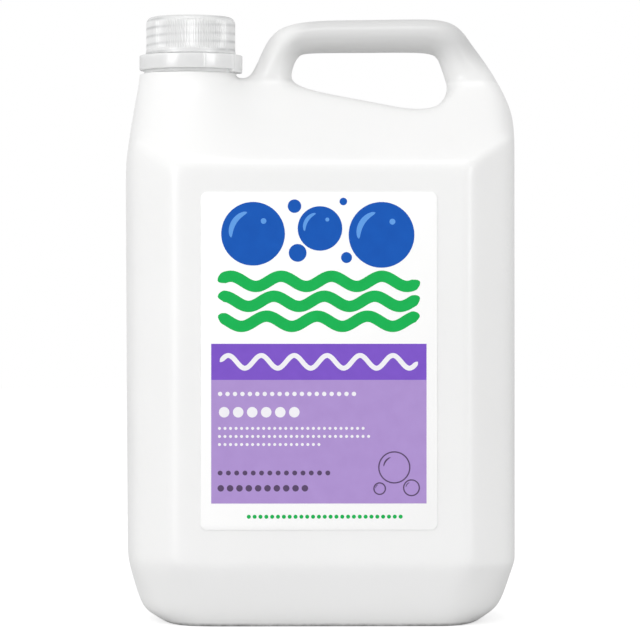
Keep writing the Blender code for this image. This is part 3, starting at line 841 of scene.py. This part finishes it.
def tabbed(radius, height, turn):
    """Raises the tear tab and its two ribs from the ring's outer wall."""
    if radius < RING_RADIUS - RING_EDGE or height < RING_STEP - FINE_EDGE:
        return radius
    rise = TAB_RISE if TAB_START < turn < TAB_END else 0.0
    for middle, half in TAB_RIBS:
        rise = max(rise, RIB_RISE * min(1.0, 2 * (1 - abs(turn - middle) / half)))
    return radius + rise


def make_ring(material):
    inner = RING_RADIUS - RING_WALL
    lip = RING_LIP_RADIUS - RING_WALL
    profile = [
        (RING_HOLE, RING_HEAD),
        (RING_RADIUS, RING_HEAD),
        (RING_RADIUS, RING_STEP),
        (RING_LIP_RADIUS, RING_STEP),
        (RING_LIP_RADIUS, RING_FOOT),
        (lip, RING_FOOT),
        (FIN_RADIUS, FIN_HEAD - FINE_EDGE),
        (FIN_RADIUS + FINE_EDGE, FIN_HEAD),
        (lip, RING_STEP + RING_WALL),
        (inner, RING_STEP + RING_WALL),
        (inner, RING_HEAD - RING_WALL),
        (RING_HOLE, RING_HEAD - RING_WALL),
    ]
    band = lathe(rounded(profile, RING_ROUND, closed=True), RING_STEPS, tabbed)
    ring = new_object("tamper_band", band, material)
    pull_start = TAB_RIBS[1][0]
    radii = (PULL_RADIUS, RING_RADIUS + TAB_RISE / 2)
    heights = (TAB_FOOT, RING_HEAD - RING_EDGE)
    joined = [
        swept_block("pull", radii, heights, pull_start, TAB_END - pull_start, PULL_STEPS, PULL_EDGE)
    ]
    heights = (RING_HEAD - FINE_EDGE, CAP_FOOT - BRIDGE_GAP)
    for index in range(BRIDGES):
        turn = BRIDGE_TURN + tau * index / BRIDGES - BRIDGE_WIDTH / 2
        name = f"bridge_{index}"
        joined.append(
            swept_block(name, BRIDGE_RADII, heights, turn, BRIDGE_WIDTH, BRIDGE_STEPS, BRIDGE_EDGE)
        )
    for piece in joined:
        boolean(ring, "UNION", piece)
    keep_finished_form(ring, joined)
    dressed(ring, "bottle", "closure_plastic", "tamper_ring")


class Print:
    """Flat printed shapes on the film, each a thin closed plate, in the print's millimetres.

    An outline is made of (x, z). Ink on a higher layer lies over the rest.
    """

    def __init__(self):
        self.bm = bmesh.new()
        self.inks = list(INKS)

    def line(self, points, layer):
        depth = FILM_FRONT - layer * INK_THICKNESS
        places = [(LABEL_X + x / MILLIMETRES, depth, z / MILLIMETRES) for x, z in points]
        return [self.bm.verts.new(place) for place in places]

    def fill(self, faces, ink):
        for corners in faces:
            face = self.bm.faces.new(corners)
            face.material_index = self.inks.index(ink)

    def plate(self, outline, ink, layer=1):
        """A plate inside an outline."""
        front = self.line(outline, layer)
        back = self.line(outline, -1)
        self.fill([front, back, *strip(front, back, closed=True)], ink)

    def band(self, first, second, ink, layer=1, closed=False):
        """A plate between two lines, which are closed rings or join at their ends."""
        front = [self.line(points, layer) for points in (first, second)]
        back = [self.line(points, -1) for points in (first, second)]
        faces = strip(*front, closed) + strip(*back, closed)
        if closed:
            faces += strip(front[0], back[0], closed) + strip(front[1], back[1], closed)
        else:
            faces += strip(front[0] + front[1][::-1], back[0] + back[1][::-1], closed=True)
        self.fill(faces, ink)

    def disc(self, x, z, radius, ink, layer=1):
        steps = round(DISC_STEPS + radius * DISC_STEPS_MORE)
        self.plate(circle(x, z, radius, steps), ink, layer)

    def hoop(self, x, z, radius, ink, layer):
        outer, inner = (circle(x, z, r, HOOP_STEPS) for r in (radius, radius - RING_LINE))
        self.band(outer, inner, ink, layer, closed=True)

    def glint(self, x, z, radius, ends, width, ink, layer):
        """A crescent inside a bubble, from one angle in degrees to another."""
        start, end = ends
        outer, inner = [], []
        for i in range(GLINT_STEPS + 1):
            t = i / GLINT_STEPS
            angle = radians(start + (end - start) * t)
            half = width * sqrt(max(0.0, 1 - (2 * t - 1) ** 2)) / 2 + GLINT_TIP
            outer.append((x + (radius + half) * cos(angle), z + (radius + half) * sin(angle)))
            inner.append((x + (radius - half) * cos(angle), z + (radius - half) * sin(angle)))
        self.band(outer, inner, ink, layer)

    def wave(self, z, form, ink, layer=1, phase=0.0):
        reach, rise, length, width = form
        steps = round(2 * reach * WAVE_STEPS)
        upper, lower = [], []
        for i in range(steps + 1):
            along = 2 * reach * i / steps
            x = along - reach
            middle = z + rise * sin(tau * along / length + phase)
            slope = rise * tau / length * cos(tau * along / length + phase)
            lean = hypot(1.0, slope)
            inside = (min(along, reach - x) + WAVE_TIP) / (width / 2)
            half = width / 2 * sqrt(max(0.0, min(1.0, inside)))
            upper.append((x - half * slope / lean, middle + half / lean))
            lower.append((x + half * slope / lean, middle - half / lean))
        self.band(upper, lower, ink, layer)

    def dots(self, start, z, pitch, count, radius, ink):
        for i in range(count):
            self.disc(start + i * pitch, z, radius, ink, 2)

    def field(self, low, high, ink):
        corners = [(-FIELD_HALF, low), (FIELD_HALF, low), (FIELD_HALF, high), (-FIELD_HALF, high)]
        self.plate(corners, ink)


def make_film(material):
    """A rounded sheet of film on the front panel."""
    reach = (label_high.x - label_low.x) / 2 - LABEL_CORNER
    low, high = label_low.z + LABEL_CORNER, label_high.z - LABEL_CORNER
    outline = []
    for quarter, (x, z) in enumerate(((reach, high), (-reach, high), (-reach, low), (reach, low))):
        start = 90 * quarter
        outline += arc((LABEL_X + x, z), LABEL_CORNER, start, start + 90, LABEL_CORNER_STEPS)
    bm = bmesh.new()
    back = [bm.verts.new((x, -HALF_DEPTH - FILM_LIFT, z)) for x, z in outline]
    front = [bm.verts.new((x, FILM_FRONT, z)) for x, z in outline]
    bm.faces.new(back)
    face = bm.faces.new(front)
    for corners in strip(back, front, closed=True):
        bm.faces.new(corners)
    bmesh.ops.recalc_face_normals(bm, faces=bm.faces)
    bmesh.ops.bevel(
        bm, geom=face.edges[:], offset=LABEL_EDGE, segments=2, profile=0.5, affect="EDGES"
    )
    film = new_object("label_film", bm, material)
    keep_finished_form(film, angle=FILM_SHARP_ANGLE)
    dressed(film, "bottle", "label_film", "front_label")


def make_print():
    """Bubbles over waves, and two fields of colour with rows of dots. It carries no lettering."""
    ink = Print()
    ink.field(FIELD_FOOT, BAND_FOOT, "lilac")
    ink.field(BAND_FOOT, BAND_HEAD, "violet")
    for x, z, radius in BUBBLES:
        reach, width = (share * radius for share in BUBBLE_GLINT)
        right, up, spot = (share * radius for share in BUBBLE_SPOT)
        ink.disc(x, z, radius, "blue")
        ink.glint(x, z, reach, BUBBLE_GLINT_ARC, width, "sky", 2)
        ink.disc(x + right, z + up, spot, "sky", 2)
    for x, z, radius in DROPS:
        ink.disc(x, z, radius, "blue")
    for z, phase in GREEN_WAVES:
        ink.wave(z, GREEN_WAVE, "green", 1, phase)
    ink.wave((BAND_FOOT + BAND_HEAD) / 2, WHITE_WAVE, "white", 2)
    for row in DOT_ROWS:
        ink.dots(*row)
    for x, z, radius in RINGS:
        reach, width = (share * radius for share in RING_GLINT)
        ink.hoop(x, z, radius, "slate", 2)
        ink.glint(x, z, reach, RING_GLINT_ARC, width, "slate", 2)

    bmesh.ops.recalc_face_normals(ink.bm, faces=ink.bm.faces)
    piece = new_object("label_print", ink.bm)
    for name in ink.inks:
        surface = Surface(
            f"{name} ink",
            INKS[name],
            (0.30, 0.40),
            patch=140,
            grain=2600,
            bump=0.12,
            depth=0.00004,
            Specular_IOR_Level=0.2,
        )
        piece.data.materials.append(surface.material)
    piece.data.set_sharp_from_angle(angle=radians(INK_SHARP_ANGLE))
    dressed(piece, "bottle", "label_film")


def add_node(tree, kind, inputs=(), **settings):
    """A shader node. Each of its inputs takes a value or another node's output."""
    node = tree.nodes.new("ShaderNode" + kind)
    for name, value in settings.items():
        setattr(node, name, value)
    for name, value in dict(inputs).items():
        if isinstance(value, bpy.types.NodeSocket):
            tree.links.new(value, node.inputs[name])
        else:
            node.inputs[name].default_value = value
    return node


class Surface:
    """A moulded or printed surface: its tone and roughness drift in patches, over a fine relief.

    patch and grain are scales of noise, and wave is the scale of a broader relief under the grain.
    A scale of 0 leaves a relief out. The rest names sockets of the shader.
    """

    def __init__(
        self, name, tones, roughness, patch=12, grain=900, wave=0, bump=0.2, depth=0.0001, **sockets
    ):
        self.material = bpy.data.materials.new(name)
        self.material.use_nodes = True
        self.tree = self.material.node_tree
        self.shader = self.tree.nodes["Principled BSDF"].inputs
        for socket, value in sockets.items():
            self.shader[socket.replace("_", " ")].default_value = value
        self.place = self.node("TexCoord").outputs["Object"]
        drift = self.ramp(self.noise(patch), NOISE_SPAN, 0.0, 1.0, "LINEAR")
        self.blend(drift, *((*tone, 1.0) for tone in tones))
        drift = self.ramp(self.noise(patch * 4), NOISE_SPAN, *roughness, "LINEAR")
        self.tree.links.new(drift, self.shader["Roughness"])
        self.normal = None
        if wave:
            self.relief(self.noise(wave), bump, depth * BROAD_RELIEF)
        if grain:
            self.relief(self.noise(grain), bump, depth)

    def node(self, kind, inputs=(), **settings):
        return add_node(self.tree, kind, inputs, **settings)

    def noise(self, scale, detail=3.0):
        inputs = {"Scale": scale, "Detail": detail, "Vector": self.place}
        return self.node("TexNoise", inputs).outputs["Fac"]

    def axes(self):
        return self.node("SeparateXYZ", {"Vector": self.place}).outputs

    def calc(self, operation, first, second=0.0):
        return self.node("Math", {0: first, 1: second}, operation=operation).outputs["Value"]

    def ramp(self, source, span, start, end, shape="SMOOTHSTEP"):
        """What the source gives as it runs over the span, from one value to another."""
        inputs = {"Value": source, "From Min": span[0], "From Max": span[1]}
        inputs.update({"To Min": start, "To Max": end})
        return self.node("MapRange", inputs, interpolation_type=shape).outputs["Result"]

    def blend(self, factor, first, second):
        """Feeds the base colour with a blend of two colours."""
        inputs = {"Factor": factor, "A": first, "B": second}
        self.colour = self.node("Mix", inputs, data_type="RGBA").outputs["Result"]
        self.tree.links.new(self.colour, self.shader["Base Color"])

    def tint(self, factor, colour):
        self.blend(factor, self.colour, (*colour, 1.0))

    def relief(self, height, strength, distance):
        """Adds a relief on top of what there is."""
        inputs = {"Height": height, "Strength": strength, "Distance": distance}
        if self.normal:
            inputs["Normal"] = self.normal
        self.normal = self.node("Bump", inputs).outputs["Normal"]
        self.tree.links.new(self.normal, self.shader["Normal"])


def paint_handle_shade(surface):
    """Painted shade: greys the handle's plastic, and leaves painted highlights paler at its crown and
    along the left leg's outer edge.
    """
    axes = surface.axes()
    lean = surface.node("VectorMath", {0: surface.place, 1: LEG_LEAN}, operation="DOT_PRODUCT")
    rise = surface.ramp(axes["Z"], *HANDLE_RISE)
    rise = surface.calc("MULTIPLY", rise, surface.ramp(axes["Z"], *HANDLE_CROWN_HIGHLIGHT))
    rise = surface.calc("MULTIPLY", rise, surface.ramp(lean.outputs["Value"], *LEG_EDGE_HIGHLIGHT))
    handle_shade = surface.calc("ADD", surface.ramp(axes["Z"], *HANDLE_FOOT), rise)
    handle_shade = surface.calc("MULTIPLY", handle_shade, surface.ramp(axes["X"], *HANDLE_START))
    surface.tint(handle_shade, HANDLE_SHADE_GREY)


# Painted contact shadow: darkens the foot's edge just above the floor, broken up by noise
def paint_foot_shadow(surface):
    height = surface.axes()["Z"]
    edge = surface.calc("MULTIPLY", surface.ramp(height, *FOOT_SHADOW), surface.ramp(height, *SOLE))
    shadow_breakup = surface.noise(FOOT_SHADOW_GRAIN, FOOT_SHADOW_DETAIL)
    surface.tint(surface.calc("MULTIPLY", edge, shadow_breakup), FOOT_SHADOW_GREY)


def paint_thread_shade_bands(surface):
    """Painted shade in bands round the cap, placed by the turns of its inner thread."""
    calc = surface.calc
    axes = surface.axes()
    aside = calc("SUBTRACT", axes["X"], NECK_X)
    angle = calc("ARCTAN2", axes["Y"], aside)
    turns = calc("DIVIDE", calc("SUBTRACT", axes["Z"], THREAD_FOOT - BAND_DROP), PITCH)
    phase = calc("MULTIPLY", calc("SUBTRACT", turns, calc("DIVIDE", angle, tau)), tau)
    wave = calc("MULTIPLY", calc("SUBTRACT", 1.0, calc("COSINE", phase)), 0.5)
    fading = surface.ramp(calc("ABSOLUTE", aside), *BAND_SIDES)
    fading = calc("MULTIPLY", surface.noise(BAND_CLOUDS, BAND_DETAIL), fading)
    fading = calc("MULTIPLY", fading, BAND_STRENGTH)
    surface.tint(calc("MULTIPLY", calc("POWER", wave, BAND_SHARPNESS), fading), BAND_SHADE_GREY)


def white_polyethylene():
    white = Surface(
        "white polyethylene",
        ((0.885, 0.885, 0.880), (0.905, 0.905, 0.900)),
        (0.30, 0.36),
        wave=55,
        bump=0.12,
        depth=0.00008,
        Subsurface_Weight=0.1,
        Subsurface_Radius=EVEN_RADIUS,
        Subsurface_Scale=0.002,
        IOR=1.5,
    )
    paint_handle_shade(white)
    paint_foot_shadow(white)
    return white.material


def closure_plastic(name, roughness=(0.285, 0.34), bump=0.1, coat=0.8):
    """Milky polypropylene, which lets a little light through."""
    return Surface(
        name,
        ((0.895, 0.90, 0.90), (0.92, 0.925, 0.925)),
        roughness,
        patch=60,
        bump=bump,
        depth=0.00006,
        Transmission_Weight=0.1,
        Subsurface_Weight=0.5,
        Subsurface_Radius=EVEN_RADIUS,
        Subsurface_Scale=0.003,
        Coat_Weight=coat,
        Coat_Roughness=0.2,
        IOR=1.49,
    )


def white_foam():
    tones = ((0.86, 0.86, 0.85), (0.80, 0.80, 0.79))
    foam = Surface("white foam", tones, (0.75, 0.9), patch=90, grain=0)
    cells = foam.node("TexVoronoi", {"Scale": FOAM_CELLS, "Vector": foam.place})
    foam.relief(cells.outputs["Distance"], *FOAM_RELIEF)
    return foam.material


def white_film():
    tones = ((0.968, 0.968, 0.963), (0.985, 0.985, 0.98))
    return Surface("white film", tones, (0.28, 0.36), grain=1500, depth=0.00004).material


def make_stage():
    """A pale floor that reads as white where it is lit, and keeps the pack's shadow."""
    material = bpy.data.materials.new("pale floor")
    material.use_nodes = True
    tree = material.node_tree
    tree.nodes.clear()
    tone = (FLOOR_TONE, FLOOR_TONE, FLOOR_TONE, 1.0)
    surface = add_node(tree, "BsdfDiffuse", {"Color": tone}).outputs["BSDF"]
    seen = add_node(tree, "LightPath").outputs["Is Camera Ray"]
    lift = add_node(tree, "Math", {0: seen, 1: FLOOR_GLOW}, operation="MULTIPLY").outputs["Value"]
    glow = add_node(tree, "Emission", {"Strength": lift}).outputs["Emission"]
    both = add_node(tree, "AddShader", {0: surface, 1: glow}).outputs["Shader"]
    add_node(tree, "OutputMaterial", {"Surface": both})
    bm = bmesh.new()
    bmesh.ops.create_grid(bm, x_segments=1, y_segments=1, size=FLOOR_HALF)
    floor = new_object("floor", bm, material)


def make_world():
    """Soft even light, and plain white behind the pack and through its cap."""
    world = bpy.data.worlds.new("studio")
    bpy.context.scene.world = world
    world.use_nodes = True
    tree = world.node_tree
    tree.nodes.clear()
    light = add_node(tree, "Background", {"Color": PLAIN_WHITE, "Strength": WORLD_LIGHT})
    white = add_node(tree, "Background", {"Color": PLAIN_WHITE})
    rays = add_node(tree, "LightPath").outputs
    direct = {0: rays["Is Camera Ray"], 1: rays["Is Transmission Ray"]}
    seen = add_node(tree, "Math", direct, operation="ADD", use_clamp=True).outputs["Value"]
    parts = {"Fac": seen, 1: light.outputs["Background"], 2: white.outputs["Background"]}
    mix = add_node(tree, "MixShader", parts)
    add_node(tree, "OutputWorld", {"Surface": mix.outputs["Shader"]})


def add_lamp(name, turn, rise, power, reflected):
    """A square soft lamp aimed at the middle of the pack."""
    lamp = bpy.data.lights.new(name, "AREA")
    lamp.size = LAMP_SIZE
    lamp.energy = power
    obj = bpy.data.objects.new(name, lamp)
    bpy.context.scene.collection.objects.link(obj)
    turn, rise = radians(turn), radians(rise)
    reach = LAMP_REACH * cos(rise)
    away = Vector((reach * sin(turn), -reach * cos(turn), LAMP_REACH * sin(rise)))
    obj.location = Vector(CENTRE) + away
    obj.rotation_euler = (-away).to_track_quat("-Z", "Y").to_euler()
    obj.visible_glossy = reflected


def make_camera():
    camera = bpy.data.cameras.new("camera")
    camera.lens = CAMERA_LENS
    camera.sensor_width = CAMERA_SENSOR
    camera.clip_start = CAMERA_CLIP
    obj = bpy.data.objects.new("camera", camera)
    bpy.context.scene.collection.objects.link(obj)
    obj.location = CAMERA_PLACE
    aim = Vector(CAMERA_AIM) - Vector(CAMERA_PLACE)
    obj.rotation_euler = aim.to_track_quat("-Z", "Y").to_euler()
    bpy.context.scene.camera = obj


def main():
    make_stage()
    make_world()
    for lamp in LAMPS:
        add_lamp(*lamp)
    make_camera()
    bpy.context.scene.view_settings.view_transform = "Standard"
    wall = closure_plastic("translucent cap polypropylene")
    paint_thread_shade_bands(wall)
    top = closure_plastic("matte cap polypropylene", (0.58, 0.68), 0.3, 0.0)
    ring = closure_plastic("translucent ring polypropylene")
    make_bottle(white_polyethylene())
    make_cap(wall.material, top.material)
    make_wad(white_foam())
    make_ring(ring.material)
    make_film(white_film())
    make_print()


main()

bpy.context.view_layer.update()
